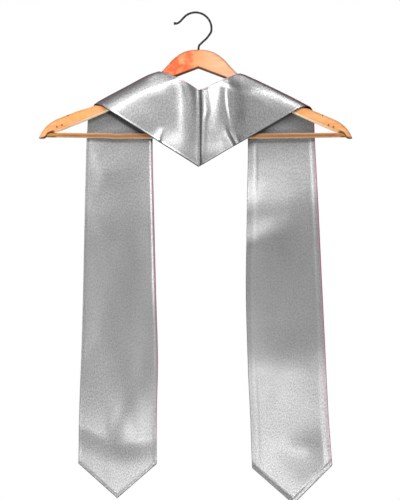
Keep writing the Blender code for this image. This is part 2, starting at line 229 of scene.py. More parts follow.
# Edges of the hanging panels: heights, with the distance of the edge from the seam
NECK_SIDE_EDGE = {
    "left": [
        (-98.0, 66.0),
        (-190.0, 69.0),
        (-295.0, 66.8),
        (-415.0, 63.8),
        (-520.0, 60.9),
        (-595.0, 62.4),
        (-677.1, 62.9),
    ],
    "right": [
        (-100.0, 69.0),
        (-190.0, 74.3),
        (-280.0, 72.8),
        (-415.0, 70.9),
        (-535.0, 74.3),
        (-595.0, 77.3),
        (-683.3, 80.7),
    ],
}
OUTER_EDGE = {
    "left": [
        (-150.0, 166.0),
        (-190.0, 168.6),
        (-325.0, 171.8),
        (-460.0, 174.8),
        (-595.0, 179.2),
        (-676.5, 181.2),
    ],
    "right": [
        (-151.5, 174.0),
        (-190.0, 175.5),
        (-280.0, 179.9),
        (-460.0, 188.3),
        (-595.0, 195.2),
        (-679.0, 201.6),
    ],
}
PANEL_TIP = {"left": (122.6, -729.2), "right": (143.3, -738.3)}

# Creases of the front run down it. Each row has a height, where the crease's ridge is,
# how far it stands forward, and its half widths on the seam's side and the arm's side.
Crease = namedtuple("Crease", "z x lift seam_side arm_side")
CREASES = {
    "left": [
        [
            Crease(-84.0, 40.0, 2.2, 22.0, 15.0),
            Crease(-100.0, 25.0, 4.2, 20.0, 17.0),
            Crease(-120.0, 13.0, 5.5, 17.0, 17.0),
            Crease(-150.0, 11.0, 5.8, 17.0, 17.0),
            Crease(-180.0, 12.0, 5.0, 22.0, 18.5),
            Crease(-200.0, 16.5, 3.7, 30.0, 22.0),
            Crease(-230.0, 22.0, 2.0, 34.0, 24.0),
        ],
        [
            Crease(-172.0, 53.0, 0.0, 3.0, 6.0),
            Crease(-184.0, 57.0, 1.1, 3.0, 7.0),
            Crease(-196.0, 60.5, 1.8, 3.0, 8.0),
            Crease(-210.0, 64.0, 1.8, 3.0, 8.0),
        ],
    ],
    "right": [
        [
            Crease(-108.0, 8.0, 0.2, 4.0, 3.0),
            Crease(-122.0, 10.0, 1.1, 4.5, 3.0),
            Crease(-138.0, 12.0, 1.3, 4.5, 3.0),
            Crease(-150.0, 12.4, 1.4, 4.5, 3.0),
            Crease(-162.0, 9.6, 1.2, 4.0, 3.0),
            Crease(-198.0, 8.0, 0.9, 4.0, 3.2),
            Crease(-232.0, 6.0, 0.6, 3.5, 3.4),
        ],
        [
            Crease(-92.0, 40.0, 3.2, 15.0, 16.0),
            Crease(-114.0, 36.5, 5.8, 18.5, 21.0),
            Crease(-150.0, 34.0, 6.5, 19.5, 24.0),
            Crease(-174.0, 35.0, 6.8, 22.0, 16.0),
            Crease(-187.0, 42.0, 6.8, 27.0, 12.0),
            Crease(-196.0, 48.0, 6.5, 31.0, 10.0),
            Crease(-215.0, 56.0, 6.2, 36.0, 9.0),
        ],
        [
            Crease(-96.0, 44.6, 0.3, 4.0, 16.0),
            Crease(-108.0, 44.4, 1.4, 3.8, 18.0),
            Crease(-134.0, 45.4, 2.4, 4.2, 20.0),
            Crease(-157.0, 49.0, 2.6, 4.2, 20.0),
            Crease(-177.0, 53.4, 2.6, 4.0, 20.0),
            Crease(-193.0, 59.0, 2.3, 3.2, 18.0),
            Crease(-206.0, 64.0, 2.2, 3.2, 16.0),
        ],
    ],
}
SEAM_RIDGE = 1.2
SEAM_RIDGE_WIDTH = 2.0
SEAM_FALL_WIDTH = 5.0
SEAM_SHARPNESS = 4.0

# Soft folds that run straight from one place to another. On one that runs down, near is
# the half width towards the seam, and on one that runs outward, it is the lower one.
Fold = namedtuple("Fold", "x_from z_from x_to z_to near far lift")
FRONT_FOLDS = {
    "left": [
        Fold(74.0, -128.0, 120.0, -148.0, 16.0, 16.0, -0.8),
        Fold(-20.0, -234.0, 70.0, -206.0, 8.0, 28.0, 3.4),
    ],
    "right": [
        Fold(84.0, -126.0, 118.0, -146.0, 18.0, 18.0, -0.7),
        Fold(14.0, -224.0, 56.0, -200.0, 8.0, 26.0, 4.2),
    ],
}
PANEL_FOLDS = {
    "left": [
        Fold(158.0, -186.0, 138.0, -250.0, 26.0, 12.0, 1.3),
        Fold(156.0, -298.0, 136.0, -334.0, 24.0, 11.0, 0.9),
        Fold(92.0, -240.0, 84.0, -420.0, 20.0, 20.0, -1.0),
        Fold(132.0, -380.0, 138.0, -540.0, 26.0, 26.0, 1.2),
        Fold(76.0, -450.0, 80.0, -580.0, 14.0, 18.0, 0.8),
        Fold(10.0, -620.0, 112.0, -645.0, 26.0, 90.0, 6.6),
        Fold(112.0, -645.0, 226.0, -592.0, 24.0, 90.0, 6.0),
        Fold(98.0, -641.0, 128.0, -641.0, 20.0, 40.0, 2.4),
        Fold(70.0, -690.0, 104.0, -714.0, 9.0, 7.0, -1.0),
    ],
    "right": [
        Fold(86.5, -190.0, 86.0, -262.0, 3.4, 2.4, 0.5),
        Fold(-100.0, -322.0, 112.0, -297.0, 60.0, 44.0, 4.3),
        Fold(-40.0, -312.0, 260.0, -280.0, 60.0, 44.0, 2.0),
        Fold(-100.0, -404.0, 112.0, -343.0, 110.0, 32.0, 4.9),
        Fold(-60.0, -418.0, 154.0, -322.0, 110.0, 32.0, 3.4),
        Fold(20.0, -508.0, 240.0, -476.0, 72.0, 120.0, 4.8),
        Fold(134.0, -500.0, 130.0, -680.0, 34.0, 60.0, 3.2),
        Fold(138.0, -668.0, 180.0, -656.0, 40.0, 26.0, 2.7),
    ],
}
FOLD_END_SHARE = 0.22
FOLD_END_LEAST = 20.0

# How the hanging panels lean: heights, with how far the sheet swings back or forward
PANEL_LEAN = {
    "left": [
        (-110.0, 0.0),
        (-150.0, 0.0),
        (-170.0, -1.7),
        (-188.0, -3.2),
        (-205.0, -3.5),
        (-240.0, -2.6),
        (-300.0, -1.2),
        (-420.0, -1.0),
        (-540.0, -1.4),
        (-600.0, -3.0),
        (-680.0, -5.4),
        (-740.0, -6.4),
    ],
    "right": [
        (-110.0, 0.0),
        (-150.0, 0.0),
        (-170.0, -1.9),
        (-188.0, -3.6),
        (-204.0, -3.8),
        (-240.0, -2.4),
        (-300.0, -0.6),
        (-420.0, -0.9),
        (-520.0, -0.4),
        (-580.0, -1.2),
        (-680.0, -4.4),
        (-740.0, -6.2),
    ],
}

# Beads and pressed strips along the edges: over which stretch, along which edge, how far
# in from the edge the bead starts, and how far it stands forward at the edge
Bead = namedtuple("Bead", "stretch edge width rise")
EDGE_BEADS = {
    "left": [
        Bead("front", "outer", 4.5, 0.3),
        Bead("front", "neck", 3.5, 0.3),
        Bead("panel", "neck", 6.0, 0.55),
        Bead("panel", "outer", 4.0, 0.25),
        Bead("panel", "end", 5.0, 0.6),
    ],
    "right": [
        Bead("front", "outer", 3.0, 0.12),
        Bead("front", "neck", 3.5, 0.3),
        Bead("panel", "outer", 11.0, 1.1),
        Bead("panel", "neck", 14.0, -0.3),
        Bead("panel", "end", 9.0, 0.7),
    ],
}
PANEL_LEAN_FROM = 0.03
BEAD_FLANK_SHARE = 0.6
STRIP_FLANK_SHARE = 0.25
END_EDGE_LEAN = 0.75
PANEL_FLAT_DROP = 24.0
ROLL_PLAIN_DROP = 4.0
ROLL_FADE_DROP = 22.0

# Slow waves and fine puckers that no stretch of satin is without
Waves = namedtuple("Waves", "length stretch lift")
CLOTH_WAVES = [Waves(46.0, 1.6, 0.55), Waves(17.0, 1.5, 0.12), Waves(5.5, 1.4, 0.022)]
WAVE_SEED_STEP = 7.3
SIDE_SEED = 40.0
ROLL_WAVE_SHARE = 0.3

# The strip's own section: two layers with soft folded edges
HALF_THICKNESS = 0.7
EDGE_ROUND = 1.4
EDGE_BEAD_WIDTH = 3.0
EDGE_BEAD_RISE = 0.25
SEAM_EDGE_X = 0.04
STRIP_WIDTH = 110.0
ACROSS_STEP = 1.5
FRONT_ROWS = 84
FRONT_ROW_POWER = 1.15
ROLL_ROWS = 36
PANEL_STEP = 2.0
EDGE_COLUMNS = [0.0, 0.08, 0.3, 0.7, 1.3, 2.1, 3.0, 4.0]

# Where the satin is rose, and where shade is painted on it as dark lines: over which stretch,
# along which edge, how far in from it the line starts and ends, how strong it is, between which
# heights, and how softly
EdgeLine = namedtuple(
    "EdgeLine",
    "stretch edge inner width strength top_z end_z soft",
    defaults=(0.0, -400.0, 0.5),
)
ROSE_LINES = {
    "left": [
        EdgeLine("roll", "crest", 0.0, 2.0, 0.75),
        EdgeLine("front", "neck", 0.0, 1.6, 0.30),
        EdgeLine("panel", "neck", 0.0, 1.6, 0.95, -196.0, -655.0),
    ],
    "right": [
        EdgeLine("roll", "crest", 0.0, 2.2, 0.95),
        EdgeLine("front", "neck", 0.0, 1.6, 0.30),
        EdgeLine("panel", "outer", 0.0, 1.6, 0.90, -150.0, -690.0),
        EdgeLine("panel", "outer", 5.5, 6.8, 0.22, -520.0, -690.0),
    ],
}
# Painted shade along the folded edges and the pointed ends of the strips
PAINTED_SHADE_LINES = {
    "left": [
        EdgeLine("front", "outer", 0.0, 1.8, 0.88),
        # Painted shadow under the arm, fading down the panel
        EdgeLine("panel", "top", 0.0, 34.0, 0.34, 0.0, -400.0, 24.0),
        # Painted shadow along the front half's lower edge
        EdgeLine("panel", "front_edge", 0.0, 4.4, 0.85, 0.0, -400.0, 1.5),
        EdgeLine("panel", "outer", 0.0, 0.9, 0.55, -100.0, -760.0),
        EdgeLine("panel", "neck", 1.6, 2.6, 0.40, -190.0, -655.0),
        EdgeLine("panel", "end", 0.0, 1.4, 0.85, -600.0, -760.0),
    ],
    "right": [
        EdgeLine("front", "outer", 0.0, 1.2, 0.80),
        # Painted shadow under the arm, fading down the panel
        EdgeLine("panel", "top", 0.0, 34.0, 0.44, 0.0, -400.0, 24.0),
        # Painted shadow along the front half's lower edge
        EdgeLine("panel", "front_edge", 0.0, 2.4, 0.75, 0.0, -400.0, 1.5),
        EdgeLine("panel", "neck", 0.0, 1.1, 0.60, -100.0, -700.0),
        EdgeLine("panel", "neck", 1.1, 9.0, 0.15, -150.0, -690.0, 3.0),
        EdgeLine("panel", "neck_end", 0.0, 6.0, 0.62, -600.0, -760.0),
        EdgeLine("panel", "outer_end", 0.0, 1.2, 0.80, -600.0, -760.0),
        # A darker line 6 mm in from the right tip's outer edge
        EdgeLine("panel", "outer_end", 6.0, 7.2, 0.45, -600.0, -760.0),
    ],
}
EDGE_LINE_END = 14.0
FAR = 1000.0

# The front half casts these shades on the panel, so only its near face takes them
SHADED_EDGES = ("top", "front_edge")

# Light and shade painted on the wood: painted light on the arms' lower edges, painted shade
# under the crown and at the bar's seat, a darker line and top, painted highlights on the bar
EDGE_PAINTED_LIGHT = 0.85
PAINTED_LIGHT_FADE_FROM = 150.0
PAINTED_LIGHT_FADE_LENGTH = 60.0
PAINTED_LIGHT_FADE_SHARE = 0.6
CROWN_PAINTED_SHADE = 0.95
SEAT_PAINTED_SHADOW = 0.9
LINE_DARKENING = 0.26
EDGE_PAINTED_SHADE_SHARE = 0.8
LINE_PAINTED_SHADE_SHARE = 0.1
TOP_DARKENING = 0.62
TOP_DARKENING_FALL = 0.5
TOP_DARKENING_POWER = 5
BAR_PAINTED_HIGHLIGHT = 0.9
BAR_PAINTED_HIGHLIGHT_POWER = 3
BAR_PAINTED_SHADE_POWER = 2

# Looks of the wood, with places as shares of the arm's reach in metres
WOOD_REACH = 0.235
WOOD_BLOTCH = (0.98, 0.46, 0.22)
WOOD_GRAIN = (0.80, 0.58, 0.40)
WOOD_GRAIN_SHARE = 0.6
BLOTCH_SIZE = 0.009
BLOTCH_DETAIL = 4.0
BLOTCH_RANGE = (0.42, 0.66)
GRAIN_STRETCH = (0.22, 3.0, 3.0)
GRAIN_SIZE = 0.012
GRAIN_DETAIL = 6.0
GRAIN_RANGE = (0.4, 0.7)
GRAIN_STRENGTH = 0.25
GRAIN_DEPTH = 0.0002
# Colour of the painted light on the arms' lower edges and of the bar's painted highlights
WOOD_PAINTED_LIGHT = (1.0, 0.80, 0.56)
# Colour of the painted shade under the crown and at the bar's seat, and of the darker lines
WOOD_PAINTED_SHADE_AND_DARKENING = (0.030, 0.008, 0.003)
CROWN_STOPS = {
    "left": [
        (0.0, (0.84, 0.28, 0.10)),
        (0.05, (0.78, 0.15, 0.038)),
        (0.26, (0.78, 0.105, 0.020)),
        (0.45, (0.84, 0.30, 0.085)),
        (0.70, (0.84, 0.36, 0.105)),
        (1.0, (0.84, 0.34, 0.11)),
    ],
    "right": [
        (0.0, (0.92, 0.34, 0.14)),
        (0.09, (0.94, 0.45, 0.25)),
        (0.26, (0.94, 0.53, 0.33)),
        (0.45, (0.86, 0.40, 0.15)),
        (0.70, (0.84, 0.40, 0.14)),
        (1.0, (0.84, 0.41, 0.16)),
    ],
}
BAR_STOPS = [(0.0, (0.36, 0.135, 0.026)), (0.85, (0.34, 0.12, 0.022)), (1.0, (0.60, 0.29, 0.05))]
MOTTLE = {"left": 0.6, "right": 0.5, "bar": 0.06}

# Looks of the satin, with sizes in metres
SATIN_COLOUR = (0.425, 0.425, 0.43)
ROSE_COLOUR = (0.72, 0.22, 0.36)
# Near black of the painted shade and the painted shadows
PAINTED_SHADE_COLOUR = (0.02, 0.02, 0.02)
GLINT_SIZE = 0.0019
GLINT_TONE = 0.42
GLINT_STOPS = [(0.0, 0.9), (0.15, 0.8), (0.27, 0.75), (0.40, 0.5), (0.52, 0.55), (0.66, 1.0)]
GLINT_STRENGTH = 0.22
GLINT_DEPTH = 0.0003
TONE_SIZE = 0.030
SLOW_TONE = 0.04
WEAVE_SCALE = 900.0
WEAVE_DISTORTION = 1.5
WEAVE_DETAIL_SCALE = 2.0
WEAVE_STRENGTH = 0.3
WEAVE_DEPTH = 0.00002
GLINT_STRETCH = (1.0, 0.8, 1.0)
GLINT_DETAIL = 2.0
TONE_STRETCH = (1.0, 0.5, 1.0)
TONE_DETAIL = 3.0
NOISE_RANGE = (0.3, 0.7)
EVEN = (1.0, 1.0, 1.0)

# Looks of the dark metals, with uneven lacquer
Metal = namedtuple("Metal", "colour spot roughness")
BLACK_WIRE = Metal((0.012, 0.012, 0.012), (0.09, 0.09, 0.09), 0.22)
NAIL_BROWN = Metal((0.16, 0.09, 0.05), (0.04, 0.02, 0.01), 0.45)
LACQUER_SIZE = 0.002
LACQUER_DETAIL = 3.0
LACQUER_RANGE = (0.45, 0.75)
LACQUER_ROUGHER = 0.15

# Studio, in metres and watts
SURROUND_GREY = (0.12, 0.12, 0.12)
FLOOR_GREY = (0.7, 0.7, 0.7)
FLOOR_HALF_SIZE = 1.2
FLOOR_Z = -1.15
Lamp = namedtuple("Lamp", "name place aim width height power")
LAMPS = [
    Lamp("top", (0.0, -1.75, 0.75), (0.0, 0.0, -0.12), 1.4, 0.3, 21.0),
    Lamp("left", (-1.35, -1.45, -0.2), (0.0, 0.0, -0.25), 0.5, 1.0, 17.5),
    Lamp("upper_left", (-0.95, -1.6, 0.45), (0.0, 0.0, -0.15), 0.6, 0.6, 5.0),
    Lamp("low", (0.12, -1.3, -0.98), (0.0, 0.0, -0.62), 0.9, 0.18, 3.5),
    Lamp("fill", (0.6, -1.7, -0.36), (0.15, 0.0, -0.4), 0.5, 0.4, 0.55),
    Lamp("overhead", (0.0, -0.5, 1.3), (0.0, 0.0, -0.1), 1.2, 0.8, 7.0),
    Lamp("behind", (0.6, 1.8, 0.1), (0.0, 0.0, -0.35), 1.4, 1.2, 16.0),
    Lamp("behind_low", (-0.7, 1.6, -0.7), (0.0, 0.0, -0.45), 0.9, 0.9, 8.0),
]


def mix(a, b, share):
    return a + (b - a) * share


def smooth_step(value):
    value = np.clip(value, 0.0, 1.0)
    return value * value * (3.0 - 2.0 * value)


def table_value(rows, column, at):
    """Cubic curve through one column of a table whose first column only rises or falls."""
    keys = np.array([row[0] for row in rows])
    values = np.array([row[column] for row in rows])
    at = np.asarray(at, float)
    if keys[0] > keys[-1]:
        keys = -keys
        at = -at
    at = np.clip(at, keys[0], keys[-1])
    slopes = np.empty(len(keys))
    slopes[1:-1] = (values[2:] - values[:-2]) / (keys[2:] - keys[:-2])
    slopes[0] = (values[1] - values[0]) / (keys[1] - keys[0])
    slopes[-1] = (values[-1] - values[-2]) / (keys[-1] - keys[-2])
    i = np.clip(np.searchsorted(keys, at, side="left") - 1, 0, len(keys) - 2)
    span = keys[i + 1] - keys[i]
    t = (at - keys[i]) / span
    return (
        (2 * t**3 - 3 * t**2 + 1) * values[i]
        + (t**3 - 2 * t**2 + t) * span * slopes[i]
        + (3 * t**2 - 2 * t**3) * values[i + 1]
        + (t**3 - t**2) * span * slopes[i + 1]
    )


def side_bell(aside, near, far):
    """A soft ridge with its own half width on either side, near where aside is positive."""
    width = np.where(aside > 0.0, near, far)
    return np.exp(-((aside / width) ** 2))


def fold_lift(folds, x, z):
    """How far the straight folds push the sheet forward at each place on it."""
    lift = np.zeros(np.broadcast(x, z).shape)
    for fold in folds:
        run_x = fold.x_to - fold.x_from
        run_z = fold.z_to - fold.z_from
        length = math.hypot(run_x, run_z)
        along = ((x - fold.x_from) * run_x + (z - fold.z_from) * run_z) / length
        aside = ((x - fold.x_from) * run_z - (z - fold.z_from) * run_x) / length
        fade = max(FOLD_END_SHARE * length, FOLD_END_LEAST)
        ends = smooth_step((along + fade) / (2.0 * fade))
        ends = ends * smooth_step((length + fade - along) / (2.0 * fade))
        lift += fold.lift * ends * side_bell(aside, fold.near, fold.far)
    return lift


def crease_lift(creases, x, z):
    """How far the creases that run down the front push it forward."""
    lift = np.zeros(np.broadcast(x, z).shape)
    for rows in creases:
        ridge_x, height, near, far = [table_value(rows, i, z) for i in range(1, 5)]
        lift += height * side_bell(ridge_x - x, near, far)
    return lift


def wave_lift(side, x, z):
    """Slow unevenness of the satin, drawn out along the strip."""
    lift = np.zeros(x.shape)
    for number, wave in enumerate(CLOTH_WAVES):
        seed = WAVE_SEED_STEP * number + SIDE_SEED * SIDES[side]
        for index in np.ndindex(x.shape):
            place = (x[index] / wave.length, z[index] / (wave.length * wave.stretch), seed)
            lift[index] += wave.lift * noise.noise(place)
    return lift


def crest_height(side, x):
    """Height of the crest line at each distance from the seam, drawn on past its ends."""
    rows = [(row[1], row[2]) for row in CREST[side]]
    past_neck = np.maximum(rows[0][0] - x, 0.0)
    return table_value(rows, 1, x) + CREST_SLOPE_NEAR_NECK * past_neck


def shoulder_depth(side, x, z):
    """The sheet's depth at a place on the front, from how far it is below the crest."""
    drop = np.maximum(crest_height(side, x) - z, 0.0)
    rows = [(math.sqrt(row[0]), row[1]) for row in SHOULDER[side]]
    depth = table_value(rows, 1, np.sqrt(drop))
    return mix(SEAM_DEPTH, depth, smooth_step(x / SEAM_DEPTH_REACH[side]))


def line_point(line, across):
    x = mix(line.neck_x, line.outer_x, across)
    z = mix(line.neck_z, line.outer_z, across)
    return x, z


def bead_lift(side, stretch, edge, distance):
    """How far the bead along one edge stands forward at each distance from that edge."""
    for bead in EDGE_BEADS[side]:
        if (bead.stretch, bead.edge) == (stretch, edge):
            share = BEAD_FLANK_SHARE if bead.rise > 0.0 else STRIP_FLANK_SHARE
            return bead.rise * smooth_step((bead.width - distance) / (share * bead.width))
    return 0.0 * distance


def front_beads(side, across):
    """How far the beads on both edges of the front stand forward."""
    outer = bead_lift(side, "front", "outer", (1.0 - across) * STRIP_WIDTH)
    return outer + bead_lift(side, "front", "neck", across * STRIP_WIDTH)


def front_relief(side, x, z):
    """Depth of the front with its creases, which fade out over the roll."""
    drop = crest_height(side, x) - z
    shown = smooth_step((drop - ROLL_PLAIN_DROP) / ROLL_FADE_DROP)
    lift = crease_lift(CREASES[side], x, z) + fold_lift(FRONT_FOLDS[side], x, z)
    if side == "right":
        at_seam = crease_lift(CREASES["left"], 0.0, z) + fold_lift(FRONT_FOLDS["left"], 0.0, z)
        lift = mix(lift, at_seam, np.exp(-((x / SEAM_FALL_WIDTH) ** 2)))
    lift = lift * shown + wave_lift(side, x, z) * mix(ROLL_WAVE_SHARE, 1.0, shown)
    lean = table_value(FRONT_LEAN[side], 1, x) * smooth_step(x / SEAM_DEPTH_REACH[side])
    lift += lean * smooth_step((drop - ROLL_PLAIN_DROP) / LEAN_FADE_DROP)
    lift += SEAM_RIDGE * np.exp(-x / SEAM_RIDGE_WIDTH)
    return shoulder_depth(side, x, z) - lift


def front_points(side, across, along):
    """The front stretch, from the centre seam at 0 to the front line at 1."""
    end_x, end_z = line_point(FRONT_LINE[side], across)
    x = mix(SEAM_EDGE_X, end_x, along)
    z = mix(mix(SEAM_TOP_Z, SEAM_POINT_Z, across), end_z, along)
    z = z + NECK_BOW[side] * np.sin(math.pi * along) * (1.0 - across) ** NECK_BOW_POWER
    depth = front_relief(side, x, z) - front_beads(side, across)
    return np.stack([x, depth, z], axis=-1)


def roll_points(side, across, along):
    """The roll over the arm: the front line at 0, the crest at 1, the back line at 2."""
    front_x, front_z = line_point(FRONT_LINE[side], across)
    back_x, back_z = line_point(BACK_LINE[side], across)
    foot_x = np.where(along < 1.0, front_x, back_x)
    foot_z = np.where(along < 1.0, front_z, back_z)
    top_x = table_value(CREST[side], 1, across)
    top_z = table_value(CREST[side], 2, across)
    rise = np.sin(math.pi * along / 2.0)
    x = mix(foot_x, top_x, rise)
    z = mix(foot_z, top_z, rise)
    behind = np.sin(math.pi * np.maximum(along - 1.0, 0.0))
    x = x + ROLL_BULGE[side] * across**ROLL_BULGE_POWER * behind
    bead = front_beads(side, across) * smooth_step(1.0 - along)
    front_y = front_relief(side, x, z) - bead
    back_y = -CLOTH_HALF_DEPTH * np.cos(math.pi * along / 2.0) + 0.0 * x
    return np.stack([x, np.where(along < 1.0, front_y, back_y), z], axis=-1)


def tip_share(side):
    neck_x = NECK_SIDE_EDGE[side][-1][1]
    outer_x = OUTER_EDGE[side][-1][1]
    return (PANEL_TIP[side][0] - neck_x) / (outer_x - neck_x)


def panel_end_z(side, across):
    """The pointed end, with two straight edges that meet at the tip."""
    tip = tip_share(side)
    tip_z = PANEL_TIP[side][1]
    neck = mix(NECK_SIDE_EDGE[side][-1][0], tip_z, across / tip)
    outer = mix(tip_z, OUTER_EDGE[side][-1][0], (across - tip) / (1.0 - tip))
    return np.where(across < tip, neck, outer)


def panel_points(side, across, along):
    """The hanging panel, from the back line at 0 to the pointed end at 1."""
    line = BACK_LINE[side]
    neck_z = mix(line.neck_z, NECK_SIDE_EDGE[side][-1][0], along)
    outer_z = mix(line.outer_z, OUTER_EDGE[side][-1][0], along)
    neck_x = table_value(NECK_SIDE_EDGE[side], 1, neck_z)
    outer_x = table_value(OUTER_EDGE[side], 1, outer_z)
    x = mix(neck_x, outer_x, across)
    top_z = mix(line.neck_z, line.outer_z, across)
    z = mix(top_z, panel_end_z(side, across), along)
    lift = fold_lift(PANEL_FOLDS[side], x, z) + wave_lift(side, x, z)
    lift = lift + bead_lift(side, "panel", "neck", across * STRIP_WIDTH)
    lift = lift + bead_lift(side, "panel", "outer", (1.0 - across) * STRIP_WIDTH)
    to_end = (z - panel_end_z(side, across)) * END_EDGE_LEAN
    lift = lift + bead_lift(side, "panel", "end", to_end)
    lift = lift * smooth_step((top_z - z - PANEL_FLAT_DROP) / PANEL_FLAT_DROP)
    lift = lift + table_value(PANEL_LEAN[side], 1, z) * smooth_step(along / PANEL_LEAN_FROM)
    return np.stack([x, CLOTH_HALF_DEPTH - lift, z], axis=-1)


def column_places(side):
    """Places across the strip, closer together at both edges and with one at the tip."""
    edge = np.array(EDGE_COLUMNS) / STRIP_WIDTH
    tip = tip_share(side)
    first = 2.0 * edge[-1] - edge[-2]
    half_count = int(STRIP_WIDTH / ACROSS_STEP / 2)
    inner = np.linspace(first, tip, half_count, endpoint=False)
    outer = np.linspace(tip, 1.0 - first, half_count)
    return np.concatenate([edge, inner, outer, 1.0 - edge[::-1]])


def strip_grid(side):
    """The strip's middle surface, row by row from the seam to the point, in millimetres."""
    across = column_places(side)[None, :]
    front = np.linspace(0.0, 1.0, FRONT_ROWS, endpoint=False)[:, None] ** FRONT_ROW_POWER
    roll = np.linspace(0.0, 2.0, ROLL_ROWS, endpoint=False)[:, None]
    length = BACK_LINE[side].neck_z - NECK_SIDE_EDGE[side][-1][0]
    panel = np.linspace(0.0, 1.0, int(length / PANEL_STEP))
    fine_end = 1.0 - np.array(EDGE_COLUMNS[::-1]) / length
    panel = np.concatenate([panel[panel < fine_end[0] - 1.0 / length], fine_end])[:, None]
    rows = [
        front_points(side, across, front),
        roll_points(side, across, roll),
        panel_points(side, across, panel),
    ]
    points = np.concatenate(rows)
    points[..., 0] *= SIDES[side]
    return points


def face_normals(points):
    """Unit directions out of the face that shows at the front."""
    down = np.gradient(points, axis=0)
    over = np.gradient(points, axis=1)
    normals = np.cross(over, down)
    normals /= np.linalg.norm(normals, axis=-1, keepdims=True)
    if normals[1, normals.shape[1] // 2, 1] > 0:
        normals = -normals
    return normals


def arc_lengths(points, axis):
    steps = np.linalg.norm(np.diff(points, axis=axis), axis=-1)
    start = np.zeros_like(np.take(steps, [0], axis=axis))
    return np.cumsum(np.concatenate([start, steps], axis=axis), axis=axis)


def edge_profile(distance):
    """Half thickness near a folded edge: a round lip and a slight bead just inside it."""
    lip = np.sqrt(1.0 - (1.0 - np.clip(distance / EDGE_ROUND, 0.0, 1.0)) ** 2)
    bead = 1.0 - smooth_step(distance / EDGE_BEAD_WIDTH)
    return lip * (HALF_THICKNESS + EDGE_BEAD_RISE * bead)


def new_object(name, data):
    item = bpy.data.objects.new(name, data)
    bpy.context.scene.collection.objects.link(item)
    return item


def mesh_object(name, vertices, faces, material):
    mesh = bpy.data.meshes.new(name)
    mesh.from_pydata(vertices, [], faces)
    mesh.update()
    mesh.shade_smooth()
    mesh.materials.append(material)
    return new_object(name, mesh)


def make_stole_half(side, material):
    """One whole strip as a flat closed tube of satin, from the seam to its point."""
    points = strip_grid(side)
    normals = face_normals(points)
    across = arc_lengths(points, 1)
    along = arc_lengths(points, 0)
    to_edge = np.minimum(across, across[:, -1:] - across)
    to_end = np.minimum(along * SEAM_SHARPNESS, along[-1:] - along)
    half = np.minimum(edge_profile(to_edge), edge_profile(to_end))
    rows, columns = half.shape
    front = points + normals * half[..., None]
    back = points - normals * half[..., None]
    front_ids = np.arange(rows * columns).reshape(rows, columns)
    back_ids = front_ids.copy()
    inner_count = (rows - 2) * (columns - 2)
    back_ids[1:-1, 1:-1] = rows * columns + np.arange(inner_count).reshape(rows - 2, -1)
    vertices = np.concatenate([front.reshape(-1, 3), back[1:-1, 1:-1].reshape(-1, 3)])
    quads = []
    for ids, flip in ((front_ids, SIDES[side] > 0), (back_ids, SIDES[side] < 0)):
        corners = [ids[:-1, :-1], ids[1:, :-1], ids[1:, 1:], ids[:-1, 1:]]
        if not flip:
            corners.reverse()
        quads.append(np.stack([c.reshape(-1) for c in corners], axis=-1))
    quads = np.concatenate(quads)
    item = mesh_object("stole_" + side, vertices * MM, quads.tolist(), material)
    add_cloth_map(item, across, along)
    distances = edge_distances(side, points, across)
    add_edge_colours(item, "rose", ROSE_LINES[side], distances, points[..., 2])
    # Painted shade along the edges, and painted shadows on the panels
    add_edge_colours(item, "painted_shade", PAINTED_SHADE_LINES[side], distances, points[..., 2])
    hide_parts("front_" + side, "panel_" + side)
    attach(item, "root")


def shell_values(front, back):
    """One value for each vertex: the whole front face, then the back without its rim."""
    return np.concatenate([front.reshape(-1), back[1:-1, 1:-1].reshape(-1)])


def add_cloth_map(item, across, along):
    """A map over the cloth whose units are its own metres, across and along the strip."""
    u = shell_values(across, across) * MM
    v = shell_values(along, along) * MM
    layer = item.data.uv_layers.new(name="cloth")
    loops = np.empty(len(item.data.loops), np.int32)
    item.data.loops.foreach_get("vertex_index", loops)
    coords = np.stack([u[loops], v[loops]], axis=-1).astype(np.float32)
    layer.data.foreach_set("uv", coords.reshape(-1))


def edge_distances(side, points, across):
    """How far each point is from every line that an edge colour may follow."""
    rows, columns = across.shape
    row = np.arange(rows)[:, None] + np.zeros((1, columns))
    crest_row = FRONT_ROWS + ROLL_ROWS // 2
    is_front = row < crest_row
    is_roll = np.abs(row - crest_row) < ROLL_ROWS // 4
    is_panel = row >= crest_row
    share = column_places(side)[None, :]
    to_end = (points[..., 2] - panel_end_z(side, share)) * END_EDGE_LEAN
    to_end = np.where(row >= FRONT_ROWS + ROLL_ROWS, to_end, FAR)
    on_neck_side = share + 0.0 * row < tip_share(side)
    line = FRONT_LINE[side]
    slope = (line.outer_z - SEAM_POINT_Z) / line.outer_x
    below = (SEAM_POINT_Z + slope * np.abs(points[..., 0]) - points[..., 2]) / math.hypot(1, slope)
    top_z = line_point(BACK_LINE[side], share)[1]
    crest_z = points[crest_row : crest_row + 1, :, 2]
    return {
        ("front", "neck"): np.where(is_front, across, FAR),
        ("front", "outer"): np.where(is_front, across[:, -1:] - across, FAR),
        ("roll", "crest"): np.where(is_roll, crest_z - points[..., 2], FAR),
        ("panel", "neck"): np.where(is_panel, across, FAR),
        ("panel", "outer"): np.where(is_panel, across[:, -1:] - across, FAR),
        ("panel", "top"): np.where(is_panel, top_z - points[..., 2], FAR),
        ("panel", "front_edge"): np.where(is_panel, np.abs(below), FAR),
        ("panel", "end"): to_end,
        ("panel", "neck_end"): np.where(on_neck_side, to_end, FAR),
        ("panel", "outer_end"): np.where(on_neck_side, FAR, to_end),
    }


